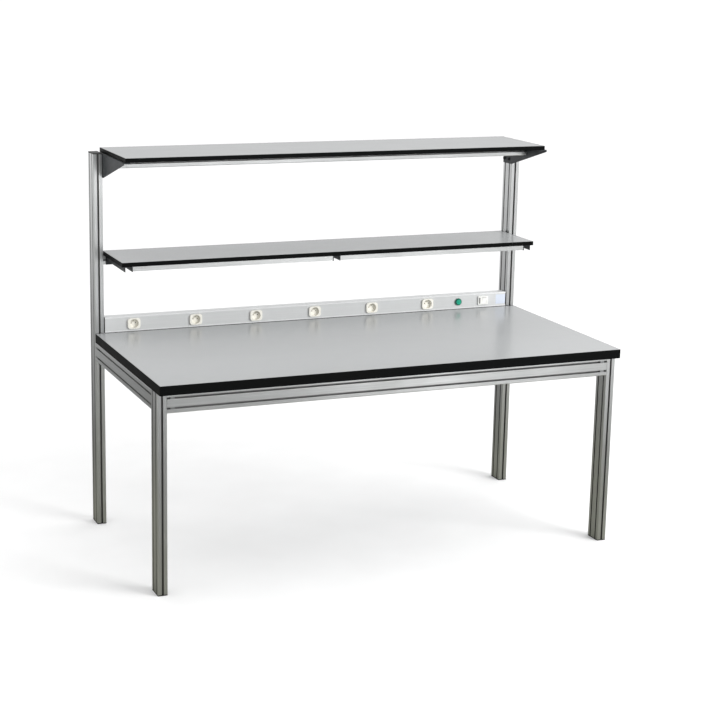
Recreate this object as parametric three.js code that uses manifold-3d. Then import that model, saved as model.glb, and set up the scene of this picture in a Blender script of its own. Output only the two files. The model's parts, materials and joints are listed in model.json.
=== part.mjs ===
// Laboratory bench with a two-tier reagent rack on a slotted aluminium frame.
// Millimetres, +Z up, +X along the bench, the user stands on the -Y side.
// The origin is the centre of the footprint at floor level.
import * as THREE from 'three';
import { mergeVertices } from 'three/addons/utils/BufferGeometryUtils.js';
import Module from 'manifold-3d';

// Slotted profile: square modules with one T-slot in the middle of each side
const profileModule = 40;
const slotOpening = 8;
const slotLip = 4.5;
const slotChamber = 18;
const slotShoulder = 7.5;
const slotDepth = 12;
const slotFloor = 9;
const profileCorner = 3;
const coreBoreRadius = 3.5;

// Frame and worktop
const benchLength = 2000;
const worktopDepth = 947;
const worktopRearGap = 3;
const worktopHeight = 850;
const worktopThickness = 38;
const worktopOverhang = 38;
const edgingThickness = 2;
const uprightHeight = 1612;
const capThickness = 4;
const capPegLength = 12;
const fitClearance = 0.5;
const cutOvershoot = 1;
const weldTolerance = 1e-4;

// Blocks that lock a rail to its neighbour, seen in the rail's outer slots
const lockBlockLength = 16;
const lockBlockInset = 22;
const lockBlockChamberWidth = 16;

// Top shelf, carried by two gussets and one cross beam
const topShelfRise = 19;
const topShelfDepth = 400;
const shelfThickness = 18;
const shelfEndGap = 10;
const gussetThickness = 5;
const gussetFlangeWidth = 25;
const gussetFlangeThickness = 4;
const gussetDrop = 100;
const gussetTipHeight = 9;
const gussetRearInset = 8;
const gussetFootLength = 76;
const gussetBoltRise = 20;
const topBeamSetback = 175;

// Lower shelf, carried by three arms on a beam that slides in the uprights' slots
const lowerShelfHeight = 1196;
const lowerShelfDepth = 312;
const lowerShelfRearInset = 22;
const beamEndGap = 0.5;
const armWidth = 34;
const armHeight = 22;
const armWall = 3;
const armPlateWidth = 40;
const armPlateThickness = 4;
const armSetback = 4;
const armEndInset = 13;
const frontBarDepth = 12;
const frontBarHeight = 20;
const frontBarSetback = 2;

// Screws and slot nuts
const boltRadius = 3.5;
const boltHeadRadius = 7;
const boltHeadHeight = 5;
const boltHoleRadius = 4.2;
const slotNutWidth = 14;
const slotNutLength = 20;
const slotNutThickness = 4;
const slotNutGap = 0.5;
const beamScrewRadius = 3.1;
const beamScrewLength = 25;

// Socket trunking between the uprights
const trunkingHeight = 66;
const trunkingDepth = 45;
const trunkingWall = 2;
const trunkingLip = 6;
const trunkingLift = 1;
const trunkingEndThickness = 3;
const coverThickness = 2;
const coverGap = 0.3;
const coverEndGap = 0.5;

// Power sockets
const socketCount = 6;
const firstSocketInset = 127;
const lastSocketInset = 402;
const socketWidth = 55;
const socketHeight = 46;
const socketThickness = 8;
const socketSquareness = 6;
const socketBodyRadius = 21;
const socketBodyDepth = 34;
const socketWellRadius = 19.5;
const socketWellDepth = 15;
const pinHoleRadius = 2.6;
const pinHoleDepth = 15;
const pinHoleOffset = 9.5;
const earthPinRadius = 2.4;
const earthPinLength = 11;
const earthPinRise = 10;

// Push button
const buttonInset = 245;
const bezelRadius = 16;
const bezelHeight = 7;
const bezelFloor = 1.5;
const barrelRadius = 11;
const barrelLength = 28;
const buttonRadius = 12;
const buttonThickness = 5;
const buttonStand = 3;
const stemRadius = 8;
const stemLength = 26;
const runningGap = 0.3;

// Rocker switch
const switchInset = 114;
const switchLeftReach = 29.5;
const switchRightReach = 19.5;
const switchHeight = 38;
const switchThickness = 8;
const switchBodyWidth = 31;
const switchBodyHeight = 34;
const switchBodyDepth = 22;
const rockerWidth = 23;
const rockerHeight = 28;
const rockerThickness = 9;
const rockerBackHeight = 14;
const rockerCrown = 1;
const rockerGap = 0.6;
const rockerTilt = THREE.MathUtils.degToRad(6);
const rockerPinRadius = 1.6;
const rockerPinLength = 1.5;
const rockerPivotDepth = 3;
const windowWidth = 5;
const windowHeight = 28;
const windowRecess = 1.5;
const windowStand = 0.3;
const windowOffset = 22.5;

// Facets of the round stretches
const boreSides = 12;
const screwSides = 16;
const roundSides = 28;
const cornerSteps = 3;

// Places worked out from the driving sizes
const uprightDepth = 2 * profileModule;
const railHeight = 2 * profileModule;
const overallDepth = worktopDepth + worktopRearGap + uprightDepth;
const frontY = -overallDepth / 2;
const rearY = overallDepth / 2;
const uprightFrontY = rearY - uprightDepth;
const worktopUnderside = worktopHeight - worktopThickness;
const legFrontY = frontY + worktopOverhang;
const legRearY = legFrontY + uprightDepth;
const outerX = benchLength / 2;
const innerX = outerX - profileModule;
const uprightCentreX = outerX - profileModule / 2;
const uprightCentreY = uprightFrontY + uprightDepth / 2;
const frontSlotY = uprightFrontY + profileModule / 2;
const rearSlotY = frontSlotY + profileModule;
const railBottom = worktopUnderside - railHeight;
const shelfHalfLength = innerX - shelfEndGap;
const topShelfUnderside = uprightHeight + topShelfRise - shelfThickness;
const topShelfFrontY = rearY - topShelfDepth;
const lowerShelfUnderside = lowerShelfHeight - shelfThickness;
const lowerShelfRearY = rearY - lowerShelfRearInset;
const lowerShelfFrontY = lowerShelfRearY - lowerShelfDepth;
const lowerBeamFrontY = rearSlotY - profileModule / 2;
const lowerBeamCentreZ = lowerShelfUnderside - profileModule / 2;
const trunkingBottom = worktopHeight + trunkingLift;
const trunkingCentreZ = trunkingBottom + trunkingHeight / 2;
const coverFrontY = uprightFrontY + trunkingWall + coverGap;
const trunkingHalfLength = innerX - trunkingEndThickness;
const firstSocketX = firstSocketInset - trunkingHalfLength;
const lastSocketX = trunkingHalfLength - lastSocketInset;
const socketPitch = (lastSocketX - firstSocketX) / (socketCount - 1);
const buttonX = trunkingHalfLength - buttonInset;
const switchX = trunkingHalfLength - switchInset;

// Finishes, one fresh material for each piece
const finishes = {
  anodised: { color: 0xb8bbbd, roughness: 0.36, metalness: 0.9 },
  laminate: { color: 0xb9bbbd, roughness: 0.5, metalness: 0 },
  edging: { color: 0x1c1d1f, roughness: 0.55, metalness: 0 },
  blackCap: { color: 0x141415, roughness: 0.6, metalness: 0 },
  blackSteel: { color: 0x3b3f44, roughness: 0.5, metalness: 0.4 },
  blackScrew: { color: 0x101011, roughness: 0.45, metalness: 0.6 },
  zinc: { color: 0xc9ccd0, roughness: 0.3, metalness: 1 },
  cover: { color: 0xc3c5c6, roughness: 0.45, metalness: 0.5 },
  socket: { color: 0xf6f3e6, roughness: 0.35, metalness: 0 },
  bezel: { color: 0x0a6450, roughness: 0.4, metalness: 0 },
  button: { color: 0x0ca583, roughness: 0.3, metalness: 0 },
  switchWhite: { color: 0xf1f1ec, roughness: 0.35, metalness: 0 },
};

const wasm = await Module();
wasm.setup();

const bench = new THREE.Group();
const alongX = new THREE.Vector3(1, 0, 0);
const alongY = new THREE.Vector3(0, 1, 0);
const alongZ = new THREE.Vector3(0, 0, 1);
const towardsUser = alongY.clone().negate();
const towardsLeft = alongX.clone().negate();

function addPart(name, finish, geometry, x = 0, y = 0, z = 0) {
  const mesh = new THREE.Mesh(geometry, new THREE.MeshStandardMaterial(finishes[finish]));
  mesh.name = name;
  mesh.position.set(x, y, z);
  bench.add(mesh);
}

// Solids for joining and cutting
function solid(geometry) {
  const bare = geometry.clone();
  bare.deleteAttribute('normal');
  bare.deleteAttribute('uv');
  const merged = mergeVertices(bare, weldTolerance);
  const vertProperties = new Float32Array(merged.attributes.position.array);
  const triVerts = Uint32Array.from(merged.index.array);
  return new wasm.Manifold(new wasm.Mesh({ numProp: 3, vertProperties, triVerts }));
}

function geometryOf(body) {
  const mesh = body.getMesh();
  const geometry = new THREE.BufferGeometry();
  geometry.setAttribute('position', new THREE.BufferAttribute(mesh.vertProperties, 3));
  geometry.setIndex(new THREE.BufferAttribute(mesh.triVerts, 1));
  return geometry;
}

// Basic forms
function boxBetween(low, high) {
  const size = high.map((value, axis) => value - low[axis]);
  const geometry = new THREE.BoxGeometry(...size);
  return geometry.translate(...low.map((value, axis) => value + size[axis] / 2));
}

function ringOfPoints(radius, sides, x = 0, y = 0) {
  return Array.from({ length: sides }, (_, step) => {
    const angle = (2 * Math.PI * step) / sides;
    return new THREE.Vector2(x + radius * Math.cos(angle), y + radius * Math.sin(angle));
  });
}

function extrude(points, length, holes = []) {
  const shape = new THREE.Shape(points);
  shape.holes = holes.map((hole) => new THREE.Path(hole));
  return new THREE.ExtrudeGeometry(shape, { depth: length, bevelEnabled: false });
}

function turned(geometry, ...axes) {
  return geometry.applyMatrix4(new THREE.Matrix4().makeBasis(...axes));
}

// Outline in X and Z, thickness towards the user from y = 0
function frontPlate(points, thickness, holes = []) {
  return turned(extrude(points, thickness, holes), alongX, alongZ, towardsUser);
}

// Outline in Y and Z, length along X from x = 0
function lengthwise(points, length) {
  return turned(extrude(points, length), alongY, alongZ, alongX);
}

// Round bar along Y between two places
function roundBar(radius, fromY, toY, sides, x = 0, z = 0) {
  const geometry = new THREE.CylinderGeometry(radius, radius, toY - fromY, sides);
  return geometry.translate(x, (fromY + toY) / 2, z);
}

// Round bar along X between two places
function crossBar(radius, fromX, toX, sides, y = 0, z = 0) {
  const geometry = new THREE.CylinderGeometry(radius, radius, toX - fromX, sides);
  return geometry.rotateZ(-Math.PI / 2).translate((fromX + toX) / 2, y, z);
}

function rectangle(width, height) {
  const corners = [[-1, -1], [1, -1], [1, 1], [-1, 1]];
  return corners.map(([sx, sy]) => new THREE.Vector2((sx * width) / 2, (sy * height) / 2));
}

// One slotted profile, lying along +Z, with its section centred on the axis
const slotOutline = [
  [-slotOpening / 2, 0],
  [-slotOpening / 2, slotLip],
  [-slotChamber / 2, slotLip],
  [-slotChamber / 2, slotShoulder],
  [-slotFloor / 2, slotDepth],
  [slotFloor / 2, slotDepth],
  [slotChamber / 2, slotShoulder],
  [slotChamber / 2, slotLip],
  [slotOpening / 2, slotLip],
  [slotOpening / 2, 0],
];

function roundedSides(width, height, radius, pointsOnSide) {
  const corners = rectangle(width, height);
  const points = [];
  corners.forEach((corner, side) => {
    const next = corners[(side + 1) % corners.length];
    const run = next.clone().sub(corner);
    const length = run.length();
    const along = run.normalize();
    const inward = new THREE.Vector2(-along.y, along.x);
    const place = (a, depth) => corner.clone().addScaledVector(along, a).addScaledVector(inward, depth);
    for (let step = 0; step < cornerSteps; step += 1) {
      const angle = (Math.PI / 2) * ((step + 0.5) / cornerSteps - 1);
      points.push(place(radius + radius * Math.sin(angle), radius - radius * Math.cos(angle)));
    }
    points.push(...pointsOnSide(length).map(([a, depth]) => place(a, depth)));
  });
  return points;
}

function slottedProfile(modulesX, modulesY, length) {
  const slotsOnSide = (sideLength) => {
    const count = Math.round(sideLength / profileModule);
    const centres = Array.from({ length: count }, (_, i) => (i + 0.5) * profileModule);
    return centres.flatMap((centre) => slotOutline.map(([a, depth]) => [centre + a, depth]));
  };
  const width = modulesX * profileModule;
  const height = modulesY * profileModule;
  const outline = roundedSides(width, height, profileCorner, slotsOnSide);
  const bores = [];
  for (let i = 0; i < modulesX; i += 1) {
    for (let j = 0; j < modulesY; j += 1) {
      const x = (i + 0.5) * profileModule - width / 2;
      const y = (j + 0.5) * profileModule - height / 2;
      bores.push(ringOfPoints(coreBoreRadius, boreSides, x, y));
    }
  }
  return extrude(outline, length, bores);
}

const post = (length) => slottedProfile(1, 2, length);
const railAlongX = (length) => turned(slottedProfile(1, 2, length), alongY, alongZ, alongX);
const railAlongY = (length) => turned(slottedProfile(1, 2, length), towardsLeft, alongZ, alongY);
const beamAlongX = (length) => turned(slottedProfile(1, 1, length), alongY, alongZ, alongX);

// A closing cap with two pegs in the profile's core bores, pegs pointing up
function endCap() {
  const outline = roundedSides(profileModule, uprightDepth, profileCorner, () => []);
  let body = solid(extrude(outline, capThickness));
  for (const side of [-1, 1]) {
    const peg = ringOfPoints(coreBoreRadius - runningGap, boreSides, 0, (side * profileModule) / 2);
    body = body.add(solid(extrude(peg, capThickness + capPegLength)));
  }
  return geometryOf(body);
}

// Panel and the strip glued round its edges
function addPanel(name, halfLength, panelFrontY, panelRearY, underside, thickness) {
  const length = 2 * halfLength;
  const depth = panelRearY - panelFrontY;
  const centreY = (panelFrontY + panelRearY) / 2;
  const core = rectangle(length - 2 * edgingThickness, depth - 2 * edgingThickness);
  addPart(`${name}_panel`, 'laminate', extrude(core, thickness), 0, centreY, underside);
  const edging = extrude(rectangle(length, depth), thickness, [core]);
  addPart(`${name}_edging`, 'edging', edging, 0, centreY, underside);
}

// Frame
function addFrame() {
  for (const [side, sign] of [['left', -1], ['right', 1]]) {
    const x = sign * uprightCentreX;
    const legY = legFrontY + uprightDepth / 2;
    const upright = post(uprightHeight - capThickness);
    addPart(`upright_${side}`, 'anodised', upright, x, uprightCentreY, capThickness);
    const leg = post(worktopUnderside - capThickness);
    addPart(`leg_${side}`, 'anodised', leg, x, legY, capThickness);
    addPart(`foot_cap_rear_${side}`, 'blackCap', endCap(), x, uprightCentreY, 0);
    addPart(`foot_cap_front_${side}`, 'blackCap', endCap(), x, legY, 0);
    const topCap = endCap().rotateX(Math.PI);
    addPart(`top_cap_${side}`, 'blackCap', topCap, x, uprightCentreY, uprightHeight + capThickness);
    const sideRail = railAlongY(uprightFrontY - legRearY);
    addPart(`side_rail_${side}`, 'anodised', sideRail, x, legRearY, railBottom + railHeight / 2);
  }
  const railZ = railBottom + railHeight / 2;
  const halfModule = profileModule / 2;
  addPart('front_rail', 'anodised', railAlongX(2 * innerX), -innerX, legFrontY + halfModule, railZ);
  addPart('rear_rail', 'anodised', railAlongX(2 * innerX), -innerX, uprightFrontY + halfModule, railZ);
  const worktopRearY = frontY + worktopDepth;
  addPanel('worktop', outerX, frontY, worktopRearY, worktopUnderside, worktopThickness);
}

// A block that fills a stretch of T-slot, its face flush with the profile
function lockBlock() {
  const neck = slotOpening / 2 - fitClearance;
  const wide = lockBlockChamberWidth / 2;
  const top = slotLip + fitClearance;
  const floor = slotShoulder;
  const half = [[neck, 0], [neck, top], [wide, top], [wide, floor]];
  const mirrored = half.map(([a, depth]) => [-a, depth]).reverse();
  const points = [...half, ...mirrored].map(([a, depth]) => new THREE.Vector2(depth, -a));
  return extrude(points, lockBlockLength);
}

function addLockBlocks() {
  const lowerSlotZ = railBottom + profileModule / 2;
  const slots = [['lower', lowerSlotZ], ['upper', lowerSlotZ + profileModule]];
  for (const [level, z] of slots) {
    for (const [side, sign] of [['left', -1], ['right', 1]]) {
      const inwards = alongX.clone().multiplyScalar(-sign);
      const across = alongZ.clone().multiplyScalar(sign);
      const sideBlock = turned(lockBlock(), inwards, across, alongY);
      const sideY = uprightFrontY - lockBlockInset - lockBlockLength / 2;
      addPart(`lock_block_side_${side}_${level}`, 'zinc', sideBlock, sign * outerX, sideY, z);
      const frontBlock = turned(lockBlock(), alongY, alongZ, alongX);
      const frontX = sign * (innerX - lockBlockInset) - lockBlockLength / 2;
      addPart(`lock_block_front_${side}_${level}`, 'zinc', frontBlock, frontX, legFrontY, z);
    }
  }
}

// Screw along X with its slot nut: the head's seat is at x = 0, the shank points to -X
function gussetBolt() {
  const nutFace = -gussetThickness - slotLip - slotNutGap;
  const nutBack = nutFace - slotNutThickness;
  const nutHalf = slotNutWidth / 2;
  const head = solid(crossBar(boltHeadRadius, 0, boltHeadHeight, screwSides));
  const shank = solid(crossBar(boltRadius, nutBack, boltHeadHeight / 2, screwSides));
  const nutLow = [nutBack, -nutHalf, -slotNutLength / 2];
  const nutHigh = [nutFace, nutHalf, slotNutLength / 2];
  return geometryOf(head.add(shank).add(solid(boxBetween(nutLow, nutHigh))));
}

// Gusset on an upright's inner face at x = 0: a plate in Y and Z with a flange under the shelf
function gusset(inwards) {
  const between = (from, to) => [inwards * from, inwards * to].sort((a, b) => a - b);
  const plateRearY = rearY - gussetRearInset;
  const bottom = topShelfUnderside - gussetDrop;
  const points = [
    [plateRearY, topShelfUnderside],
    [topShelfFrontY, topShelfUnderside],
    [topShelfFrontY, topShelfUnderside - gussetTipHeight],
    [plateRearY - gussetFootLength, bottom],
    [plateRearY, bottom],
  ].map(([y, z]) => new THREE.Vector2(y, z));
  const [plateLowX] = between(0, gussetThickness);
  const plate = solid(lengthwise(points, gussetThickness).translate(plateLowX, 0, 0));
  const [flangeLowX, flangeHighX] = between(gussetThickness / 2, gussetThickness + gussetFlangeWidth);
  const flangeLow = [flangeLowX, topShelfFrontY, topShelfUnderside - gussetFlangeThickness];
  const flangeHigh = [flangeHighX, plateRearY, topShelfUnderside];
  let body = plate.add(solid(boxBetween(flangeLow, flangeHigh)));
  const holeReach = gussetThickness + cutOvershoot;
  const holeZ = bottom + gussetBoltRise;
  for (const slotY of [frontSlotY, rearSlotY]) {
    body = body.subtract(solid(crossBar(boltHoleRadius, -holeReach, holeReach, screwSides, slotY, holeZ)));
  }
  return geometryOf(body);
}

function addTopShelf() {
  addPanel('top_shelf', shelfHalfLength, topShelfFrontY, rearY, topShelfUnderside, shelfThickness);
  const beamEndX = innerX - gussetThickness;
  const beamY = topShelfFrontY + topBeamSetback + profileModule / 2;
  const beamZ = topShelfUnderside - gussetFlangeThickness - profileModule / 2;
  addPart('top_beam', 'anodised', beamAlongX(2 * beamEndX), -beamEndX, beamY, beamZ);
  const boltZ = topShelfUnderside - gussetDrop + gussetBoltRise;
  addPart('gusset_left', 'blackSteel', gusset(1), -innerX);
  addPart('gusset_right', 'blackSteel', gusset(-1), innerX);
  for (const [place, slotY] of [['front', frontSlotY], ['rear', rearSlotY]]) {
    const boltX = innerX - gussetThickness;
    addPart(`gusset_bolt_left_${place}`, 'blackScrew', gussetBolt(), -boltX, slotY, boltZ);
    const mirrored = gussetBolt().rotateZ(Math.PI);
    addPart(`gusset_bolt_right_${place}`, 'blackScrew', mirrored, boltX, slotY, boltZ);
  }
}

// Arm under the lower shelf: a channel open downwards with a plate against the beam
function shelfArm() {
  const frontEnd = lowerShelfFrontY + armSetback;
  const outer = [-armWidth / 2, frontEnd, -armHeight];
  const outerHigh = [armWidth / 2, lowerBeamFrontY, 0];
  const inner = [armWall - armWidth / 2, frontEnd - cutOvershoot, -armHeight - cutOvershoot];
  const innerHigh = [armWidth / 2 - armWall, lowerBeamFrontY - armPlateThickness, -armWall];
  const channel = solid(boxBetween(outer, outerHigh)).subtract(solid(boxBetween(inner, innerHigh)));
  const plateLow = [-armPlateWidth / 2, lowerBeamFrontY - armPlateThickness, -profileModule];
  const plate = solid(boxBetween(plateLow, [armPlateWidth / 2, lowerBeamFrontY, 0]));
  return geometryOf(channel.add(plate));
}

// Screw in the beam's core bore with its nut in the upright's slot, pointing to -X
function beamScrew() {
  const nutFace = -beamEndGap - slotLip - slotNutGap;
  const nutBack = nutFace - slotNutThickness;
  const nutHalf = slotNutWidth / 2;
  const shank = solid(crossBar(beamScrewRadius, nutBack, beamScrewLength, screwSides));
  const nutLow = [nutBack, -nutHalf, -slotNutLength / 2];
  const nut = solid(boxBetween(nutLow, [nutFace, nutHalf, slotNutLength / 2]));
  return geometryOf(shank.add(nut));
}

function addLowerShelf() {
  const underside = lowerShelfUnderside;
  addPanel('lower_shelf', shelfHalfLength, lowerShelfFrontY, lowerShelfRearY, underside, shelfThickness);
  const beamEndX = innerX - beamEndGap;
  const beamY = lowerBeamFrontY + profileModule / 2;
  addPart('lower_beam', 'anodised', beamAlongX(2 * beamEndX), -beamEndX, beamY, lowerBeamCentreZ);
  const sideArmX = shelfHalfLength - armEndInset - armWidth / 2;
  const arms = [['left', -sideArmX], ['middle', 0], ['right', sideArmX]];
  for (const [place, x] of arms) {
    addPart(`shelf_arm_${place}`, 'blackSteel', shelfArm(), x, 0, underside);
  }
  const barFront = lowerShelfFrontY + armSetback + frontBarSetback;
  const barStart = armWidth / 2;
  const barEnd = sideArmX - armWidth / 2;
  for (const [side, low, high] of [['left', -barEnd, -barStart], ['right', barStart, barEnd]]) {
    const bar = boxBetween([low, barFront, -frontBarHeight], [high, barFront + frontBarDepth, 0]);
    addPart(`front_bar_${side}`, 'anodised', bar, 0, 0, underside);
  }
  addPart('beam_screw_left', 'zinc', beamScrew(), -beamEndX, rearSlotY, lowerBeamCentreZ);
  const mirrored = beamScrew().rotateZ(Math.PI);
  addPart('beam_screw_right', 'zinc', mirrored, beamEndX, rearSlotY, lowerBeamCentreZ);
}

// Trunking
function addTrunking() {
  const length = 2 * trunkingHalfLength;
  const inside = trunkingDepth - trunkingWall;
  const top = trunkingHeight - trunkingWall;
  const channel = [
    [0, 0],
    [trunkingDepth, 0],
    [trunkingDepth, trunkingHeight],
    [0, trunkingHeight],
    [0, trunkingHeight - trunkingLip],
    [trunkingWall, trunkingHeight - trunkingLip],
    [trunkingWall, top],
    [inside, top],
    [inside, trunkingWall],
    [trunkingWall, trunkingWall],
    [trunkingWall, trunkingLip],
    [0, trunkingLip],
  ].map(([y, z]) => new THREE.Vector2(y, z));
  const channelBody = lengthwise(channel, length);
  addPart('trunking_channel', 'anodised', channelBody, -trunkingHalfLength, uprightFrontY, trunkingBottom);
  for (const [side, x] of [['left', -innerX], ['right', trunkingHalfLength]]) {
    const end = boxBetween([0, 0, 0], [trunkingEndThickness, trunkingDepth, trunkingHeight]);
    addPart(`trunking_end_${side}`, 'blackCap', end, x, uprightFrontY, trunkingBottom);
  }
  const coverHeight = trunkingHeight - 2 * trunkingWall - 2 * coverGap;
  const coverOutline = rectangle(length - 2 * coverEndGap, coverHeight);
  const holes = socketPlaces().map((x) => ringOfPoints(socketBodyRadius + runningGap, roundSides, x));
  holes.push(ringOfPoints(barrelRadius + runningGap, roundSides, buttonX));
  const switchHole = rectangle(switchBodyWidth + 2 * runningGap, switchBodyHeight + 2 * runningGap);
  holes.push(switchHole.map((point) => point.add(new THREE.Vector2(switchX, 0))));
  const cover = frontPlate(coverOutline, coverThickness, holes);
  addPart('trunking_cover', 'cover', cover, 0, coverFrontY + coverThickness, trunkingCentreZ);
}

function socketPlaces() {
  return Array.from({ length: socketCount }, (_, i) => firstSocketX + i * socketPitch);
}

// Socket: a soft-cornered front, a round well, two pin holes and an earth pin
function socketBody() {
  const outline = ringOfPoints(1, roundSides).map((point) => {
    const reach = (Math.abs(point.x) ** socketSquareness + Math.abs(point.y) ** socketSquareness);
    const scale = reach ** (-1 / socketSquareness);
    return new THREE.Vector2((point.x * scale * socketWidth) / 2, (point.y * scale * socketHeight) / 2);
  });
  const wellFloor = socketWellDepth - socketThickness;
  let body = solid(frontPlate(outline, socketThickness));
  body = body.add(solid(roundBar(socketBodyRadius, -socketThickness / 2, socketBodyDepth, roundSides)));
  const wellMouth = -socketThickness - cutOvershoot;
  body = body.subtract(solid(roundBar(socketWellRadius, wellMouth, wellFloor, roundSides)));
  for (const side of [-1, 1]) {
    const holeX = side * pinHoleOffset;
    const holeEnd = wellFloor + pinHoleDepth;
    body = body.subtract(solid(roundBar(pinHoleRadius, wellFloor - cutOvershoot, holeEnd, boreSides, holeX)));
  }
  const pinTip = wellFloor - earthPinLength;
  const pin = roundBar(earthPinRadius, pinTip, wellFloor + cutOvershoot, boreSides, 0, earthPinRise);
  return geometryOf(body.add(solid(pin)));
}

function addSockets() {
  socketPlaces().forEach((x, i) => {
    addPart(`socket_${i + 1}`, 'socket', socketBody(), x, coverFrontY, trunkingCentreZ);
  });
}

// Button: the profile is turned round the Y axis, y = 0 is the cover's face
function lathe(points) {
  const outline = points.map(([radius, y]) => new THREE.Vector2(radius, y));
  return new THREE.LatheGeometry(outline, roundSides);
}

function addButton() {
  const cup = buttonRadius + runningGap;
  const bore = stemRadius + runningGap;
  const bezel = lathe([
    [cup, -bezelFloor],
    [cup, -bezelHeight],
    [bezelRadius, -bezelHeight],
    [bezelRadius, 0],
    [barrelRadius, 0],
    [barrelRadius, barrelLength],
    [bore, barrelLength],
    [bore, -bezelFloor],
    [cup, -bezelFloor],
  ]);
  addPart('button_bezel', 'bezel', bezel, buttonX, coverFrontY, trunkingCentreZ);
  const face = -bezelHeight - buttonStand;
  const back = face + buttonThickness;
  const button = lathe([
    [0, face],
    [buttonRadius, face],
    [buttonRadius, back],
    [stemRadius, back],
    [stemRadius, back + stemLength],
    [0, back + stemLength],
  ]);
  addPart('push_button', 'button', button, buttonX, coverFrontY, trunkingCentreZ);
}

// Switch: a frame on the cover, and a rocker on two pins
function addSwitch() {
  const openingWidth = rockerWidth + 2 * rockerGap;
  const openingHeight = rockerHeight + 2 * rockerGap;
  const plateLow = [-switchLeftReach, -switchThickness, -switchHeight / 2];
  const plateHigh = [switchRightReach, 0, switchHeight / 2];
  let frame = solid(boxBetween(plateLow, plateHigh));
  const bodyLow = [-switchBodyWidth / 2, -switchThickness / 2, -switchBodyHeight / 2];
  const bodyHigh = [switchBodyWidth / 2, switchBodyDepth, switchBodyHeight / 2];
  frame = frame.add(solid(boxBetween(bodyLow, bodyHigh)));
  const openLow = [-openingWidth / 2, -switchThickness - cutOvershoot, -openingHeight / 2];
  const openHigh = [openingWidth / 2, rockerThickness, openingHeight / 2];
  frame = frame.subtract(solid(boxBetween(openLow, openHigh)));
  const pinReach = rockerWidth / 2 + rockerPinLength;
  const pinHole = pinReach + runningGap;
  const pivotY = -switchThickness + rockerPivotDepth;
  const seat = crossBar(rockerPinRadius + runningGap, -pinHole, pinHole, boreSides, pivotY);
  frame = frame.subtract(solid(seat));
  const recessFloor = windowRecess - switchThickness;
  const recessLow = [-windowOffset - windowWidth / 2, -switchThickness - cutOvershoot, -windowHeight / 2];
  const recessHigh = [windowWidth / 2 - windowOffset, recessFloor, windowHeight / 2];
  frame = frame.subtract(solid(boxBetween(recessLow, recessHigh)));
  addPart('switch_frame', 'switchWhite', geometryOf(frame), switchX, coverFrontY, trunkingCentreZ);
  const windowOutline = rectangle(windowWidth - 2 * runningGap, windowHeight - 2 * runningGap);
  const window = frontPlate(windowOutline, windowRecess + windowStand);
  const windowX = switchX - windowOffset;
  addPart('switch_window', 'blackCap', window, windowX, coverFrontY + recessFloor, trunkingCentreZ);
  const halfPaddle = rockerHeight / 2;
  const paddleBack = rockerThickness - rockerPivotDepth;
  const paddle = [
    [paddleBack, -rockerBackHeight / 2],
    [paddleBack, rockerBackHeight / 2],
    [-rockerPivotDepth, halfPaddle],
    [-rockerPivotDepth - rockerCrown, halfPaddle],
    [-rockerPivotDepth, 0],
    [-rockerPivotDepth - rockerCrown, -halfPaddle],
    [-rockerPivotDepth, -halfPaddle],
  ].map(([y, z]) => new THREE.Vector2(y, z));
  const body = solid(lengthwise(paddle, rockerWidth).translate(-rockerWidth / 2, 0, 0));
  const pin = solid(crossBar(rockerPinRadius, -pinReach, pinReach, boreSides));
  const rocker = geometryOf(body.add(pin)).rotateX(rockerTilt);
  addPart('switch_rocker', 'switchWhite', rocker, switchX, coverFrontY + pivotY, trunkingCentreZ);
}

addFrame();
addLockBlocks();
addTopShelf();
addLowerShelf();
addTrunking();
addSockets();
addButton();
addSwitch();

export default bench;
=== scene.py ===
# %% [markdown]
# # A laboratory bench with a two-tier reagent rack
# The solids of the bench come in as a fixed frame: every profile, board, bracket, screw and socket
# is already at its real size and place. This lesson gives each of them the broken edges, the small
# machined details and the finish of the real thing, one family of pieces at a time.

# %% Load the frame
import json
import math
import bpy
from mathutils import Matrix, Vector


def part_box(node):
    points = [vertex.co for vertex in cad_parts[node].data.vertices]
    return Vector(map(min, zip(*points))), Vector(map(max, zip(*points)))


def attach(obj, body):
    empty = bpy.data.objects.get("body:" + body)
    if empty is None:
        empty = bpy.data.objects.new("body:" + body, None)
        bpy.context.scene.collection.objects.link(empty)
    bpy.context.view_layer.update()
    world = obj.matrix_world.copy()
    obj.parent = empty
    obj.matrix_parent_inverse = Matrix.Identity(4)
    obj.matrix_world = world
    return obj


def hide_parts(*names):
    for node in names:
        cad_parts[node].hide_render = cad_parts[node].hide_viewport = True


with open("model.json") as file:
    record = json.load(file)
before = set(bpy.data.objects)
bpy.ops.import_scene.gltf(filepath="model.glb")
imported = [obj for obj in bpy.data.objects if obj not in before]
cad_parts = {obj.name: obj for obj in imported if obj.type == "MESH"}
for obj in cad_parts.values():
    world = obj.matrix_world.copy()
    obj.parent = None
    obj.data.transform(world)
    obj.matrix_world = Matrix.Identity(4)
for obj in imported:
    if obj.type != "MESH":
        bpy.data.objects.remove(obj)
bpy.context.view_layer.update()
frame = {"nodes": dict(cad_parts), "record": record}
bpy.ops.object.select_all(action="DESELECT")

MM = 0.001
record = frame["record"]
body_of_node = {n: body for body, names in record["behaviour"]["bodies"].items() for n in names}

# %% [markdown]
# ## Small helpers
# An operator works on what is selected, so each helper first deselects everything and then selects
# only its own piece. Faces and edges are picked in code by where they are.

# %% Helpers for selecting and finishing
SHARP_ANGLE = 28
SMOOTH_ANGLE = 35
FACE_WEIGHT = 100


def only(piece):
    bpy.ops.object.select_all(action="DESELECT")
    piece.select_set(True)
    bpy.context.view_layer.objects.active = piece


def apply_modifier(piece, kind, **settings):
    only(piece)
    modifier = piece.modifiers.new(kind.lower(), kind)
    for key, value in settings.items():
        setattr(modifier, key, value)
    bpy.ops.object.modifier_apply(modifier=modifier.name)


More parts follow.
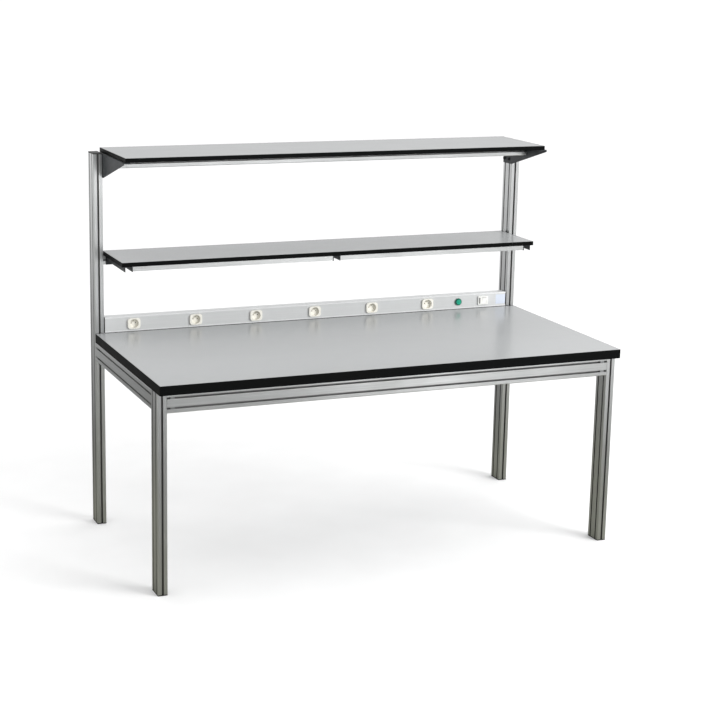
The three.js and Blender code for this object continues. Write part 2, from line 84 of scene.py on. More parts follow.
def break_edges(piece, width, segments=2, angle=SHARP_ANGLE):
    apply_modifier(
        piece, "BEVEL", width=width, segments=segments, limit_method="ANGLE",
        angle_limit=math.radians(angle), use_clamp_overlap=True, miter_outer="MITER_ARC",
    )


def smooth(piece):
    only(piece)
    bpy.ops.object.shade_smooth_by_angle(angle=math.radians(SMOOTH_ANGLE))
    apply_modifier(piece, "WEIGHTED_NORMAL", keep_sharp=True, weight=FACE_WEIGHT)


def bake_place(piece):
    only(piece)
    bpy.ops.object.transform_apply(location=True, rotation=True, scale=True)


def dress(piece, material, body):
    piece.data.materials.clear()
    piece.data.materials.append(material)
    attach(piece, body)


# %% [markdown]
# ## Working copies
# An extruded profile or a folded bracket has the right shape already, but its corners are razor
# sharp. A working copy of its mesh is merged, cleared of the triangle edges on flat faces, and
# given a small bevel, because a real corner is never sharp and the thin highlight along it tells
# the eye its size. A face with two openings in it keeps its triangles, because one merged face
# can't go round both.

# %% Make a working copy of a node
MERGE_DISTANCE = 0.002 * MM
FLAT_ANGLE = 0.5


def worked_copy(node, merge_flats=True):
    source = frame["nodes"][node]
    piece = source.copy()
    piece.data = source.data.copy()
    piece.name = f"{node}_finished"
    bpy.context.scene.collection.objects.link(piece)
    piece.parent = None
    piece.matrix_world = Matrix.Identity(4)
    only(piece)
    bpy.ops.mesh.customdata_custom_splitnormals_clear()
    bpy.ops.object.mode_set(mode="EDIT")
    bpy.ops.mesh.select_all(action="SELECT")
    bpy.ops.mesh.remove_doubles(threshold=MERGE_DISTANCE)
    if merge_flats:
        bpy.ops.mesh.dissolve_limited(angle_limit=math.radians(FLAT_ANGLE))
    bpy.ops.mesh.normals_make_consistent(inside=False)
    bpy.ops.object.mode_set(mode="OBJECT")
    return piece


def stand_for(piece, node, material):
    smooth(piece)
    dress(piece, material, body_of_node[node])
    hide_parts(node)


def finish_node(node, material, width, segments=2, angle=SHARP_ANGLE, merge_flats=True):
    piece = worked_copy(node, merge_flats)
    break_edges(piece, width, segments, angle)
    stand_for(piece, node, material)
    return piece


# %% [markdown]
# ## Shader groups
# Three effects come back in many finishes: the fine lines that drawing leaves along a profile, the
# speckle of a pressed or moulded surface, and the faint uneven film that handling leaves. Each is
# one node group with its own inputs.

# %% Build the shader groups
def new_group(name, inputs, outputs):
    group = bpy.data.node_groups.new(name, "ShaderNodeTree")
    for title, kind, value in inputs:
        socket = group.interface.new_socket(title, in_out="INPUT", socket_type=kind)
        socket.default_value = value
    for title, kind in outputs:
        group.interface.new_socket(title, in_out="OUTPUT", socket_type=kind)
    entry = group.nodes.new("NodeGroupInput")
    leave = group.nodes.new("NodeGroupOutput")
    return group, entry, leave


def add_node(tree, kind, **settings):
    node = tree.nodes.new(kind)
    for key, value in settings.items():
        setattr(node, key, value)
    return node


def add_noise(tree, vector, scale, detail, roughness):
    noise = add_node(tree, "ShaderNodeTexNoise")
    tree.links.new(vector, noise.inputs["Vector"])
    tree.links.new(scale, noise.inputs["Scale"])
    noise.inputs["Detail"].default_value = detail
    noise.inputs["Roughness"].default_value = roughness
    return noise.outputs["Fac"]


def add_range(tree, value, low, high, from_low, from_high):
    span = add_node(tree, "ShaderNodeMapRange")
    tree.links.new(value, span.inputs["Value"])
    span.inputs["From Min"].default_value = from_low
    span.inputs["From Max"].default_value = from_high
    for title, bound in (("To Min", low), ("To Max", high)):
        if hasattr(bound, "links"):
            tree.links.new(bound, span.inputs[title])
        else:
            span.inputs[title].default_value = bound
    return span.outputs["Result"]


def add_math(tree, operation, *values):
    step = add_node(tree, "ShaderNodeMath", operation=operation)
    for value, socket in zip(values, step.inputs):
        tree.links.new(value, socket)
    return step.outputs["Value"]


FULL_SPAN = (0.0, 1.0)
NOISE_SPAN = (0.3, 0.7)
FILM_SPAN = (0.25, 0.75)


def drawn_lines_group():
    group, entry, leave = new_group(
        "drawn lines",
        [("Stretch", "NodeSocketVector", (1.0, 1.0, 1.0)), ("Scale", "NodeSocketFloat", 900.0)],
        [("Lines", "NodeSocketFloat")],
    )
    place = add_node(group, "ShaderNodeTexCoord")
    squeeze = add_node(group, "ShaderNodeVectorMath", operation="MULTIPLY")
    group.links.new(place.outputs["Object"], squeeze.inputs[0])
    group.links.new(entry.outputs["Stretch"], squeeze.inputs[1])
    fine = add_noise(
        group, squeeze.outputs["Vector"], entry.outputs["Scale"], detail=4.0, roughness=0.6,
    )
    group.links.new(add_range(group, fine, *FULL_SPAN, *NOISE_SPAN), leave.inputs["Lines"])
    return group


def speckle_group():
    group, entry, leave = new_group(
        "speckle",
        [("Scale", "NodeSocketFloat", 700.0)],
        [("Speckle", "NodeSocketFloat")],
    )
    place = add_node(group, "ShaderNodeTexCoord")
    grain = add_noise(
        group, place.outputs["Object"], entry.outputs["Scale"], detail=2.0, roughness=0.5,
    )
    group.links.new(add_range(group, grain, *FULL_SPAN, *NOISE_SPAN), leave.inputs["Speckle"])
    return group


def handling_group():
    group, entry, leave = new_group(
        "handling film",
        [("Scale", "NodeSocketFloat", 6.0)],
        [("Film", "NodeSocketFloat")],
    )
    place = add_node(group, "ShaderNodeTexCoord")
    cloud = add_noise(
        group, place.outputs["Object"], entry.outputs["Scale"], detail=5.0, roughness=0.6,
    )
    group.links.new(add_range(group, cloud, *FULL_SPAN, *FILM_SPAN), leave.inputs["Film"])
    return group


DRAWN_LINES = drawn_lines_group()
SPECKLE = speckle_group()
HANDLING = handling_group()

# %% [markdown]
# ## Finishes
# A finish is a Principled shader whose colour, roughness and bump follow one pattern. The two
# colours of a finish stay close together, because a new bench is even, and the pattern only keeps
# it from looking like a flat fill.

# %% A finish from one pattern
COAT_ROUGHNESS = 0.12
RELIEF_STRENGTH = 0.5


def finish(
    name, dark, light, rough, metallic=0.0, pattern=SPECKLE,
    bump=0.0, coat=0.0, shine=0.5, **pattern_values,
):
    material = bpy.data.materials.new(name)
    material.use_nodes = True
    tree = material.node_tree
    shader = tree.nodes["Principled BSDF"]
    shader.inputs["Metallic"].default_value = metallic
    shader.inputs["Specular IOR Level"].default_value = shine
    if coat:
        shader.inputs["Coat Weight"].default_value = coat
        shader.inputs["Coat Roughness"].default_value = COAT_ROUGHNESS
    grain = add_node(tree, "ShaderNodeGroup", node_tree=pattern)
    for title, value in pattern_values.items():
        grain.inputs[title].default_value = value
    film = add_node(tree, "ShaderNodeGroup", node_tree=HANDLING)
    colour = add_node(tree, "ShaderNodeMix", data_type="RGBA")
    colour.inputs["A"].default_value = (*dark, 1.0)
    colour.inputs["B"].default_value = (*light, 1.0)
    tree.links.new(grain.outputs[0], colour.inputs["Factor"])
    tree.links.new(colour.outputs["Result"], shader.inputs["Base Color"])
    roughness = add_range(tree, film.outputs["Film"], *rough, *FULL_SPAN)
    tree.links.new(roughness, shader.inputs["Roughness"])
    if bump:
        relief = add_node(tree, "ShaderNodeBump")
        relief.inputs["Strength"].default_value = RELIEF_STRENGTH
        relief.inputs["Distance"].default_value = bump * MM
        tree.links.new(grain.outputs[0], relief.inputs["Height"])
        tree.links.new(relief.outputs["Normal"], shader.inputs["Normal"])
    return material


LINE_SHRINK = 0.004
FACE_COLOURS = ((0.54, 0.55, 0.55), (0.70, 0.71, 0.71))
# Darker colours for the slot walls: painted shade for the shade deep inside the slots.
RAIL_SLOT_SHADE = ((0.31, 0.31, 0.31), (0.39, 0.39, 0.39))
POST_SLOT_SHADE = ((0.20, 0.20, 0.20), (0.27, 0.27, 0.27))
SLOT_SHADE_BY_AXIS = {"X": RAIL_SLOT_SHADE, "Y": RAIL_SLOT_SHADE, "Z": POST_SLOT_SHADE}


def anodised(name, axis, colours, rough):
    stretch = [1.0, 1.0, 1.0]
    stretch["XYZ".index(axis)] = LINE_SHRINK
    return finish(
        f"{name}_drawn_along_{axis.lower()}", *colours, rough,
        metallic=1.0, pattern=DRAWN_LINES, bump=0.01, Stretch=stretch, Scale=700.0,
    )


ALONG = {axis: anodised("anodised", axis, FACE_COLOURS, (0.30, 0.42)) for axis in "XYZ"}
# The slot materials are painted shade: darker copies of the drawn metal for the faces inside the
# slots.
PAINTED_SLOT_SHADE = {axis: anodised("slot", axis, SLOT_SHADE_BY_AXIS[axis], (0.45, 0.55)) for axis in "XYZ"}
LAMINATE = finish(
    "grey_laminate", (0.405, 0.415, 0.42), (0.445, 0.455, 0.46), (0.19, 0.25),
    bump=0.001, Scale=400.0,
)
EDGING = finish(
    "black_edging", (0.0015, 0.0017, 0.0018), (0.0045, 0.005, 0.005), (0.40, 0.52),
    bump=0.01, shine=0.045, Scale=1500.0,
)
BLACK_MOULDED = finish(
    "black_moulded", (0.006, 0.006, 0.006), (0.016, 0.016, 0.017), (0.5, 0.62),
    bump=0.02, Scale=1800.0,
)
DARK_COAT = finish(
    "dark_powder_coat", (0.018, 0.022, 0.025), (0.030, 0.035, 0.039), (0.42, 0.52),
    metallic=0.2, bump=0.03, Scale=1100.0,
)
BLACK_OXIDE = finish(
    "black_oxide", (0.008, 0.008, 0.009), (0.022, 0.022, 0.024), (0.34, 0.46),
    metallic=0.6, Scale=1500.0,
)
ZINC = finish(
    "bright_zinc", (0.58, 0.59, 0.61), (0.74, 0.75, 0.77), (0.22, 0.34),
    metallic=1.0, Scale=500.0,
)
SATIN_ZINC = finish(
    "satin_zinc", (0.40, 0.41, 0.42), (0.52, 0.53, 0.54), (0.36, 0.48),
    metallic=1.0, Scale=500.0,
)
DRAWN_STRIP = {
    "metallic": 0.1, "pattern": DRAWN_LINES, "bump": 0.006,
    "Stretch": (LINE_SHRINK, 1.0, 1.0), "Scale": 900.0,
}
COVER_GREY = finish(
    "cover_grey", (0.61, 0.62, 0.62), (0.67, 0.68, 0.68), (0.36, 0.46), **DRAWN_STRIP,
)
PALE_CHANNEL = finish(
    "pale_channel", (0.74, 0.75, 0.75), (0.80, 0.81, 0.81), (0.34, 0.44), **DRAWN_STRIP,
)
CREAM = finish(
    "cream_socket", (0.88, 0.86, 0.78), (0.93, 0.91, 0.84), (0.26, 0.36),
    coat=0.3, Scale=60.0,
)
GREEN = finish(
    "green_button", (0.0, 0.32, 0.19), (0.004, 0.40, 0.25), (0.2, 0.3),
    coat=0.4, Scale=60.0,
)
DARK_GREEN = finish(
    "green_bezel", (0.0, 0.10, 0.065), (0.002, 0.14, 0.09), (0.3, 0.4),
    coat=0.2, Scale=60.0,
)
WHITE = finish(
    "white_switch", (0.86, 0.86, 0.83), (0.92, 0.92, 0.89), (0.26, 0.36),
    coat=0.3, Scale=60.0,
)
NICKEL = finish(
    "nickel_contact", (0.55, 0.53, 0.48), (0.70, 0.68, 0.62), (0.2, 0.3),
    metallic=1.0, Scale=400.0,
)
# Near-black colour for the socket contacts: painted shade for the dark inside of the holes.
CONTACT_HOLE_SHADE = finish(
    "painted_contact_hole_shade", (0.01, 0.01, 0.01), (0.02, 0.02, 0.02), (0.6, 0.7), Scale=400.0,
)
BLANK_LABEL = finish(
    "blank_label", (0.58, 0.63, 0.72), (0.64, 0.69, 0.78), (0.3, 0.4), Scale=300.0,
)
print("finishes", len(bpy.data.materials))

# %% [markdown]
# ## Profiles
# Every post, rail and beam is an extrusion, so its lines run along its length. The corners of the
# slots are broken by half a millimetre, as a die leaves them. The walls inside the slots get a
# darker colour of their own: this is painted shade, standing in for the shade that falls deep
# inside a slot. A face lies in a slot where it is deeper than the broken edges and doesn't close
# the end of the profile.

# %% Finish the profiles
PROFILE_EDGE = 0.5 * MM
SLOT_LIP = 0.9 * MM
FACING = 0.5
PROFILES = {
    "upright_left": "Z", "upright_right": "Z", "leg_left": "Z", "leg_right": "Z",
    "side_rail_left": "Y", "side_rail_right": "Y", "front_rail": "X", "rear_rail": "X",
    "top_beam": "X", "lower_beam": "X", "front_bar_left": "X", "front_bar_right": "X",
}


# Faces deep inside a slot get the second, darker material, which is painted shade.
def paint_slot_shade(piece, node, axis):
    low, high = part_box(node)
    along = "XYZ".index(axis)
    across = [i for i in range(3) if i != along]
    piece.data.materials.append(PAINTED_SLOT_SHADE[axis])
    for face in piece.data.polygons:
        deep = all(low[i] + SLOT_LIP < face.center[i] < high[i] - SLOT_LIP for i in across)
        if deep and abs(face.normal[along]) < FACING:
            face.material_index = 1


for node, axis in PROFILES.items():
    paint_slot_shade(finish_node(node, ALONG[axis], PROFILE_EDGE), node, axis)
print("profiles", len(PROFILES))

# %% [markdown]
# ## Boards
# A worktop is laminate on chipboard with a black strip glued round it. The board is a block with
# its edges just broken. The strip starts as the same block with its top and bottom faces deleted,
# and the walls that are left get their thickness inwards. Its corners are scraped round after
# gluing, so they get a wider bevel than the board's own edge, which leaves the fine line between
# the two.

# %% Finish the boards
BOARD_EDGE = 0.2 * MM
STRIP_EDGE = 0.8 * MM
STRIP_THICKNESS = 2.0 * MM


def block(name, low, high):
    low, high = Vector(low), Vector(high)
    bpy.ops.mesh.primitive_cube_add(size=1.0, location=(low + high) / 2)
    piece = bpy.context.active_object
    piece.name = name
    piece.scale = high - low
    bake_place(piece)
    return piece


def edge_strip(name, low, high):
    piece = block(name, low, high)
    bpy.ops.object.mode_set(mode="EDIT")
    bpy.ops.mesh.select_mode(type="FACE")
    bpy.ops.mesh.select_all(action="DESELECT")
    bpy.ops.object.mode_set(mode="OBJECT")
    for face in piece.data.polygons:
        face.select = abs(face.normal.z) > FACING
    bpy.ops.object.mode_set(mode="EDIT")
    bpy.ops.mesh.delete(type="FACE")
    bpy.ops.object.mode_set(mode="OBJECT")
    apply_modifier(
        piece, "SOLIDIFY", thickness=STRIP_THICKNESS, offset=-1.0, use_even_offset=True,
    )
    return piece


for board in ("worktop", "lower_shelf", "top_shelf"):
    panel = block(f"{board}_panel_finished", *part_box(f"{board}_panel"))
    break_edges(panel, BOARD_EDGE)
    stand_for(panel, f"{board}_panel", LAMINATE)
    strip = edge_strip(f"{board}_edging_finished", *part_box(f"{board}_edging"))
    break_edges(strip, STRIP_EDGE, segments=3)
    stand_for(strip, f"{board}_edging", EDGING)

# %% [markdown]
# ## Brackets and caps
# The gussets and arms are folded steel with a powder coat, and the caps are moulded plastic.

# %% Finish the brackets and caps
STEEL_EDGE = 0.8 * MM
CAP_EDGE = 0.8 * MM
for side in ("left", "right"):
    finish_node(f"gusset_{side}", DARK_COAT, STEEL_EDGE, segments=3)
    for cap in ("foot_cap_front", "foot_cap_rear", "top_cap", "trunking_end"):
        finish_node(f"{cap}_{side}", BLACK_MOULDED, CAP_EDGE, segments=3)
for place in ("left", "middle", "right"):
    finish_node(f"shelf_arm_{place}", DARK_COAT, STEEL_EDGE, segments=3)

# %% [markdown]
# ## Screws and lock blocks
# Each visible screw has a hexagon socket. A six-sided prism is added at the screw's face and cut
# away with a Boolean modifier, before the edges are broken.

# %% Cut hexagon sockets
CUTTER_LIFT = 1.0 * MM


def cut_hexagon(piece, face, inwards, across_corners, depth):
    inwards = Vector(inwards)
    turn = inwards.to_track_quat("Z", "Y").to_euler()
    bpy.ops.mesh.primitive_cylinder_add(
        vertices=6, radius=across_corners / 2, depth=depth + CUTTER_LIFT,
        location=Vector(face) + inwards * (depth - CUTTER_LIFT) / 2, rotation=turn,
    )
    cutter = bpy.context.active_object
    apply_modifier(piece, "BOOLEAN", object=cutter, operation="DIFFERENCE", solver="EXACT")
    bpy.data.objects.remove(cutter, do_unlink=True)


def finish_screw(node, material, inwards, across_corners, depth, width):
    piece = worked_copy(node)
    low, high = (Vector(corner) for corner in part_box(node))
    centre = (low + high) / 2
    face = Vector(high if min(inwards) < 0 else low)
    for axis in range(3):
        if inwards[axis] == 0:
            face[axis] = centre[axis]
    cut_hexagon(piece, face, inwards, across_corners, depth)
    break_edges(piece, width)
    stand_for(piece, node, material)


BOLT_HEXAGON = 5.8 * MM
BOLT_HEXAGON_DEPTH = 3.0 * MM
BLOCK_HEXAGON = 4.6 * MM
BLOCK_HEXAGON_DEPTH = 3.0 * MM
SCREW_EDGE = 0.5 * MM
BLOCK_EDGE = 0.3 * MM
for side, outwards in (("left", 1), ("right", -1)):
    for place in ("front", "rear"):
        finish_screw(
            f"gusset_bolt_{side}_{place}", BLACK_OXIDE, (-outwards, 0, 0),
            BOLT_HEXAGON, BOLT_HEXAGON_DEPTH, SCREW_EDGE,
        )
    for level in ("lower", "upper"):
        for place, inwards in (("side", (outwards, 0, 0)), ("front", (0, 1, 0))):
            finish_screw(
                f"lock_block_{place}_{side}_{level}", SATIN_ZINC, inwards,
                BLOCK_HEXAGON, BLOCK_HEXAGON_DEPTH, BLOCK_EDGE,
            )
    finish_node(f"beam_screw_{side}", ZINC, BLOCK_EDGE)

# %% [markdown]
# ## Trunking cover, sockets, button and switch
# The cover is a flat drawn strip. A socket is one moulding with a round well. Its earth pin and
# the two contacts behind its holes are metal, so they are pieces of their own, modelled once for
# each socket from a cylinder whose front edge is rounded. The contacts are coloured near black,
# which is painted shade for the dark inside of the holes.

# %% Finish the cover and the sockets
COVER_EDGE = 0.3 * MM
SOCKETS = [f"socket_{i}" for i in range(1, 7)]
SOCKET_EDGE = 1.2 * MM
SOCKET_CORNER = 3.0 * MM
CORNER_RUN = 1.0 * MM
MOULDED_ANGLE = 40
WELL_DEPTH = 15.0 * MM
BAR_SIDES = 24
SLEEVE_GAP = 0.15 * MM
PIN_RISE = 10.0 * MM
PIN_RADIUS = 2.4 * MM
PIN_LENGTH = 11.0 * MM
PIN_ROOT = 1.0 * MM
PIN_EDGE = 1.2 * MM
HOLE_OFFSET = 9.5 * MM
HOLE_RADIUS = 2.6 * MM
CONTACT_FRONT = 4.0 * MM
CONTACT_BACK = 3 * CONTACT_FRONT
CONTACT_EDGE = 0.5 * MM
finish_node("trunking_channel", PALE_CHANNEL, PROFILE_EDGE)
finish_node("trunking_cover", COVER_GREY, COVER_EDGE)


def round_bar(name, radius, front, back, x, z, edge, material):
    bpy.ops.mesh.primitive_cylinder_add(
        vertices=BAR_SIDES, radius=radius, depth=back - front,
        location=(x, (front + back) / 2, z), rotation=(math.pi / 2, 0, 0),
    )
    piece = bpy.context.active_object
    piece.name = name
    bake_place(piece)
    break_edges(piece, edge, segments=3)
    smooth(piece)
    dress(piece, material, "frame")
    return piece


def bevel_chosen_edges(piece, chosen, width, segments):
    only(piece)
    bpy.ops.object.mode_set(mode="EDIT")
    bpy.ops.mesh.select_mode(type="EDGE")
    bpy.ops.mesh.select_all(action="DESELECT")
    bpy.ops.object.mode_set(mode="OBJECT")
    for edge in piece.data.edges:
        edge.select = chosen(*(piece.data.vertices[i].co for i in edge.vertices))
    bpy.ops.object.mode_set(mode="EDIT")
    bpy.ops.mesh.bevel(offset=width, segments=segments, affect="EDGES")
    bpy.ops.object.mode_set(mode="OBJECT")


def finish_socket(node, x, z, half_width, half_height):
    def is_outer_corner(a, b):
        runs_back = abs(a.y - b.y) > CORNER_RUN
        return runs_back and abs(a.x - x) > half_width / 2 and abs(a.z - z) > half_height / 2

    piece = worked_copy(node)
    bevel_chosen_edges(piece, is_outer_corner, SOCKET_CORNER, segments=4)
    break_edges(piece, SOCKET_EDGE, segments=3, angle=MOULDED_ANGLE)
    stand_for(piece, node, CREAM)


for node in SOCKETS:
    low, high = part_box(node)
    x = (low[0] + high[0]) / 2
    z = (low[2] + high[2]) / 2
    finish_socket(node, x, z, high[0] - x, high[2] - z)
    floor_y = low[1] + WELL_DEPTH
    pin = round_bar(
        f"{node}_earth_pin", PIN_RADIUS + SLEEVE_GAP,
        floor_y - PIN_LENGTH - SLEEVE_GAP, floor_y + PIN_ROOT,
        x, z + PIN_RISE, PIN_EDGE, NICKEL,
    )
    for label, offset in (("left", -HOLE_OFFSET), ("right", HOLE_OFFSET)):
        # The contacts take the near-black colour, which is painted shade inside the holes.
        contact = round_bar(
            f"{node}_contact_{label}", HOLE_RADIUS - SLEEVE_GAP,
            floor_y + CONTACT_FRONT, floor_y + CONTACT_BACK,
            x + offset, z, CONTACT_EDGE, CONTACT_HOLE_SHADE,
        )
print("sockets", len(SOCKETS))

# %% [markdown]
# The button's cap is the softest form on the bench, so its rim gets the widest bevel. The rocker's
# two faces meet at a shallow angle, so its bevel starts at a smaller angle than the others.

# %% Finish the button and the switch
BEZEL_EDGE = 0.8 * MM
BUTTON_EDGE = 1.6 * MM
SWITCH_EDGE = 0.5 * MM
WINDOW_EDGE = 0.2 * MM
ROCKER_ANGLE = 20
finish_node("button_bezel", DARK_GREEN, BEZEL_EDGE, segments=3, angle=MOULDED_ANGLE)
finish_node("push_button", GREEN, BUTTON_EDGE, segments=4, angle=MOULDED_ANGLE)
finish_node("switch_frame", WHITE, SWITCH_EDGE, 3, MOULDED_ANGLE, merge_flats=False)
finish_node("switch_rocker", WHITE, SWITCH_EDGE, segments=3, angle=ROCKER_ANGLE)
finish_node("switch_window", EDGING, WINDOW_EDGE)

# %% [markdown]
# ## Blank plate
# At the right end of the trunking sits a small bare plate: a thin rounded rectangle that starts as
# a cube and has its four corner edges bevelled.

# %% Make the blank plate
PLATE_X = 931.0 * MM
PLATE_SIZE = (49.0 * MM, 0.5 * MM, 44.0 * MM)
PLATE_CORNER = 2.5 * MM
PLATE_EDGE = 0.15 * MM
cover_low, cover_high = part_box("trunking_cover")
plate_z = (cover_low[2] + cover_high[2]) / 2
plate = block(
    "blank_plate",
    (PLATE_X - PLATE_SIZE[0] / 2, cover_low[1] - PLATE_SIZE[1], plate_z - PLATE_SIZE[2] / 2),
    (PLATE_X + PLATE_SIZE[0] / 2, cover_low[1], plate_z + PLATE_SIZE[2] / 2),
)
bevel_chosen_edges(
    plate, lambda a, b: abs(a.y - b.y) > PLATE_SIZE[1] / 2, PLATE_CORNER, segments=5,
)
break_edges(plate, PLATE_EDGE)
smooth(plate)
dress(plate, BLANK_LABEL, "frame")

# %% [markdown]
# ## Joint behind the worktop
# A fine dark line runs under the trunking. A thin black strip in the joint between the worktop and
# the trunking stands in for the shade in that gap, so this dark line is painted shade. It lies
# under the trunking and stands just proud of the worktop.

# %% Make the joint strip
JOINT_DEPTH = 5.0 * MM
JOINT_REACH = 10.0 * MM
JOINT_PLAY = 0.1 * MM
JOINT_EDGE = 0.3 * MM
top_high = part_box("worktop_edging")[1]
channel_low, channel_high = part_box("trunking_channel")
# The black strip is painted shade for the gap under the trunking.
joint = block(
    "joint_shade_strip",
    (channel_low[0], top_high[1] + JOINT_PLAY, top_high[2] - JOINT_DEPTH),
    (channel_high[0], channel_low[1] + JOINT_REACH, channel_low[2] - JOINT_PLAY),
)
break_edges(joint, JOINT_EDGE, segments=3)
smooth(joint)
dress(joint, BLACK_MOULDED, "frame")

# %% [markdown]
# ## Floor, light and camera
# The bench stands on a plain pale floor in soft light. What the metal reflects is mostly floor, so
# in reflections the floor carries painted light and shade: dark near the bench, lighter further
# out, with a few painted patches of light and shade in front. These painted reflections give the
# rails and posts their light and dark parts. A fade is the tone at its near end and at its far
# end, and then these two distances in metres.

# %% Floor
FLOOR_SIZE = 400.0
FLOOR_DROP = 0.2 * MM
# Painted light and shade seen only in reflections: a warm lift close to the bench's line, a fade
# outwards, patches of painted light (positive tone) and painted shade (negative tone), and darker
# floor far to the left and far to the right.
NEAR_FLOOR_LIFT = (0.155, 0.155, 0.11)
NEAR_FLOOR_DEPTHS = (0.6, 2.2)
FLOOR_CENTRE = (-0.4, 0.0, 0.0)
OPEN_FLOOR = (0.11, 1.6, 1.8, 13.0)
LIGHT_AND_SHADE_PATCHES = (
    ((1.4, -2.8, 0.0), (0.9, 0.0, 0.1, 1.0)),
    ((1.8, -4.2, 0.0), (1.1, 0.0, 0.3, 1.2)),
    ((4.0, -13.0, 0.0), (2.8, 0.0, 1.0, 5.0)),
    ((2.1, -2.0, 0.0), (-0.20, 0.0, 0.7, 1.6)),
    ((0.1, -4.0, 0.0), (-0.30, 0.0, 0.7, 1.9)),
    ((3.3, -4.3, 0.0), (-0.44, 0.0, 0.5, 1.6)),
    ((2.5, -6.8, 0.0), (-0.42, 0.0, 0.6, 2.0)),
)
LEFT_SHARE = (0.60, 1.0, -2.8, -1.2)
RIGHT_SHARE = (1.0, 0.60, 3.0, 4.8)


def add_fade(tree, place, centre, fade):
    reach = add_node(tree, "ShaderNodeVectorMath", operation="DISTANCE")
    tree.links.new(place, reach.inputs[0])
    reach.inputs[1].default_value = centre
    return add_range(tree, reach.outputs["Value"], *fade)


def stage_floor_material():
    material = finish(
        "pale_floor", (0.90, 0.90, 0.90), (0.93, 0.93, 0.93), (0.8, 0.9), Scale=3.0,
    )
    tree = material.node_tree
    pale = tree.nodes["Principled BSDF"]
    grey = add_node(tree, "ShaderNodeBsdfDiffuse")
    place = add_node(tree, "ShaderNodeTexCoord").outputs["Object"]
    parts = add_node(tree, "ShaderNodeSeparateXYZ")
    tree.links.new(place, parts.inputs["Vector"])
    patched = add_fade(tree, place, FLOOR_CENTRE, OPEN_FLOOR)
    for centre, fade in LIGHT_AND_SHADE_PATCHES:
        patched = add_math(tree, "ADD", patched, add_fade(tree, place, centre, fade))
    left = add_range(tree, parts.outputs["X"], *LEFT_SHARE)
    right = add_range(tree, parts.outputs["X"], *RIGHT_SHARE)
    shared = add_math(tree, "MULTIPLY", patched, add_math(tree, "MULTIPLY", left, right))
    depth = add_math(tree, "ABSOLUTE", parts.outputs["Y"])
    tint = add_node(tree, "ShaderNodeCombineColor")
    for channel, lift in zip(("Red", "Green", "Blue"), NEAR_FLOOR_LIFT):
        near = add_range(tree, depth, lift, 0.0, *NEAR_FLOOR_DEPTHS)
        tree.links.new(add_math(tree, "ADD", shared, near), tint.inputs[channel])
    tree.links.new(tint.outputs["Color"], grey.inputs["Color"])
    # Glossy rays see the grey tones, which are painted light and shade; all other rays see the
    # even pale floor.
    path = add_node(tree, "ShaderNodeLightPath")
    choose = add_node(tree, "ShaderNodeMixShader")
    tree.links.new(path.outputs["Is Glossy Ray"], choose.inputs["Fac"])
    tree.links.new(pale.outputs["BSDF"], choose.inputs[1])
    tree.links.new(grey.outputs["BSDF"], choose.inputs[2])
    tree.links.new(choose.outputs["Shader"], tree.nodes["Material Output"].inputs["Surface"])
    return material


bpy.ops.mesh.primitive_plane_add(size=FLOOR_SIZE, location=(0, 0, -FLOOR_DROP))
floor = bpy.context.active_object
floor.name = "floor"
floor.data.materials.append(stage_floor_material())

# %% [markdown]
# The sky is brightest overhead and darker towards the left, so the left faces of the posts fall
# darker. One large lamp on the right models the boards and casts the soft shadow. Reflections
# don't show it, because it would leave a white patch on the laminate.

# %% World and lamp
FRONT_TO_REAR = (-0.6, 0.3)
HORIZON_TO_HIGH = (0.0, 0.7)
LEFT_TO_RIGHT = (-0.9, 0.6)


def studio_world(front_sky, rear_sky, high_sky, left_share, right_share):
    world = bpy.data.worlds.new("studio")
    bpy.context.scene.world = world
    world.use_nodes = True
    tree = world.node_tree
    backdrop = tree.nodes["Background"]
    place = add_node(tree, "ShaderNodeTexCoord")
    parts = add_node(tree, "ShaderNodeSeparateXYZ")
    tree.links.new(place.outputs["Generated"], parts.inputs["Vector"])
    low_sky = add_range(tree, parts.outputs["Y"], front_sky, rear_sky, *FRONT_TO_REAR)
    height = add_range(tree, parts.outputs["Z"], low_sky, high_sky, *HORIZON_TO_HIGH)
    side = add_range(tree, parts.outputs["X"], left_share, right_share, *LEFT_TO_RIGHT)
    light = add_math(tree, "MULTIPLY", height, side)
    path = add_node(tree, "ShaderNodeLightPath")
    seen = add_math(tree, "MAXIMUM", light, path.outputs["Is Camera Ray"])
    tree.links.new(seen, backdrop.inputs["Strength"])
    backdrop.inputs["Color"].default_value = (1.0, 1.0, 1.0, 1.0)


def add_lamp(name, place, target, size, power):
    light = bpy.data.lights.new(name, "AREA")
    light.shape = "RECTANGLE"
    light.size, light.size_y = size
    light.energy = power
    lamp = bpy.data.objects.new(name, light)
    bpy.context.scene.collection.objects.link(lamp)
    lamp.location = place
    aim = Vector(target) - Vector(place)
    lamp.rotation_euler = aim.to_track_quat("-Z", "Y").to_euler()
    lamp.visible_glossy = False


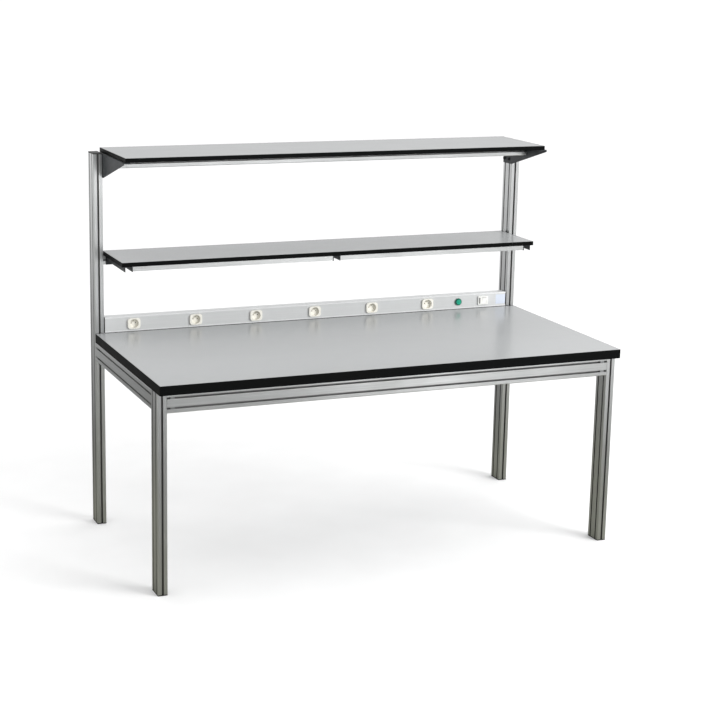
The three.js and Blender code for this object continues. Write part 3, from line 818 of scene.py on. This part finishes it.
studio_world(front_sky=0.55, rear_sky=0.38, high_sky=1.57, left_share=0.48, right_share=1.07)
add_lamp("key", place=(4.6, -5.6, 2.9), target=(0, 0.3, 1.0), size=(4.0, 3.0), power=420.0)
bpy.context.scene.view_settings.view_transform = "Standard"

# %% [markdown]
# The camera stands to the left of the bench and above it, where the edges of the modelled boards
# and posts fall on those in the photograph. The picture's centre is a little off the lens's axis.

# %% Camera
SENSOR_WIDTH = 36.0
CLIP_END = 500.0
IMAGE_SIDE = 720.0
CAMERA_PLACE = Vector((-2.8141, -6.5988, 2.4821))
CAMERA_YAW = 0.3901
CAMERA_PITCH = 0.2271
CAMERA_ROLL = 0.0179
FOCAL_PIXELS = 1738.9
PRINCIPAL_POINT = (330.0, 345.0)
camera_data = bpy.data.cameras.new("camera")
camera_data.sensor_fit = "HORIZONTAL"
camera_data.sensor_width = SENSOR_WIDTH
camera_data.lens = SENSOR_WIDTH * FOCAL_PIXELS / IMAGE_SIDE
camera_data.shift_x = (IMAGE_SIDE / 2 - PRINCIPAL_POINT[0]) / IMAGE_SIDE
camera_data.shift_y = (PRINCIPAL_POINT[1] - IMAGE_SIDE / 2) / IMAGE_SIDE
camera_data.clip_end = CLIP_END
camera = bpy.data.objects.new("camera", camera_data)
bpy.context.scene.collection.objects.link(camera)
forward = Vector((
    math.sin(CAMERA_YAW) * math.cos(CAMERA_PITCH),
    math.cos(CAMERA_YAW) * math.cos(CAMERA_PITCH),
    -math.sin(CAMERA_PITCH),
))
level = Vector((math.cos(CAMERA_YAW), -math.sin(CAMERA_YAW), 0.0))
upward = level.cross(forward)
right = level * math.cos(CAMERA_ROLL) + upward * math.sin(CAMERA_ROLL)
over = upward * math.cos(CAMERA_ROLL) - level * math.sin(CAMERA_ROLL)
turn = Matrix((right, over, -forward)).transposed().to_4x4()
camera.matrix_world = Matrix.Translation(CAMERA_PLACE) @ turn
bpy.context.scene.camera = camera

# %% [markdown]
# ## Last step
# Everything is deselected at the end.

# %% Deselect everything
bpy.ops.object.select_all(action="DESELECT")
